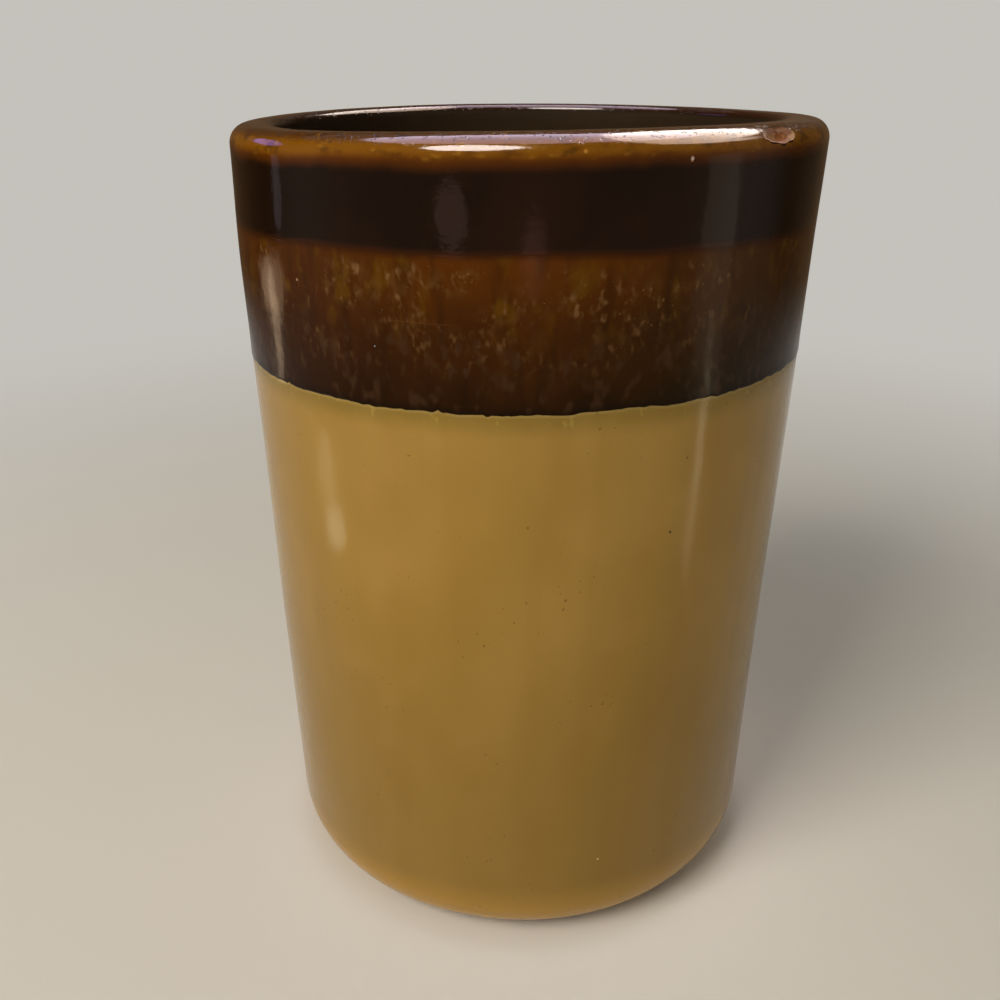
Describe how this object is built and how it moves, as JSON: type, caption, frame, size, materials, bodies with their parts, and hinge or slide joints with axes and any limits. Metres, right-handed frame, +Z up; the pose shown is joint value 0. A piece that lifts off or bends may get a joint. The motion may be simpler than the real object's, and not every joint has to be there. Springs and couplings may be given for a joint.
{
  "type": "utensil crock",
  "caption": "Open stoneware utensil crock with a rounded lip, a tan lower glaze, a mottled amber band and a near-black top.",
  "frame": {"origin": "centre of the foot, on the surface that the crock stands on", "axes": "+Z up along the crock's axis, -Y towards the viewer of the picture, +X to the right"},
  "size_m": [0.1268, 0.1268, 0.178],
  "materials": {
    "stoneware": "bare fired clay, matt and slightly gritty",
    "tan_glaze": "glossy ochre glaze",
    "amber_glaze": "glossy mottled amber-brown glaze",
    "dark_glaze": "glossy near-black brown glaze that breaks amber on the lip",
    "liner_glaze": "glossy dark brown glaze"
  },
  "bodies": {
    "root": {"stoneware_body": "stoneware", "tan_glaze": "tan_glaze", "amber_glaze": "amber_glaze", "dark_glaze": "dark_glaze", "liner_glaze": "liner_glaze"}
  },
  "joints": []
}
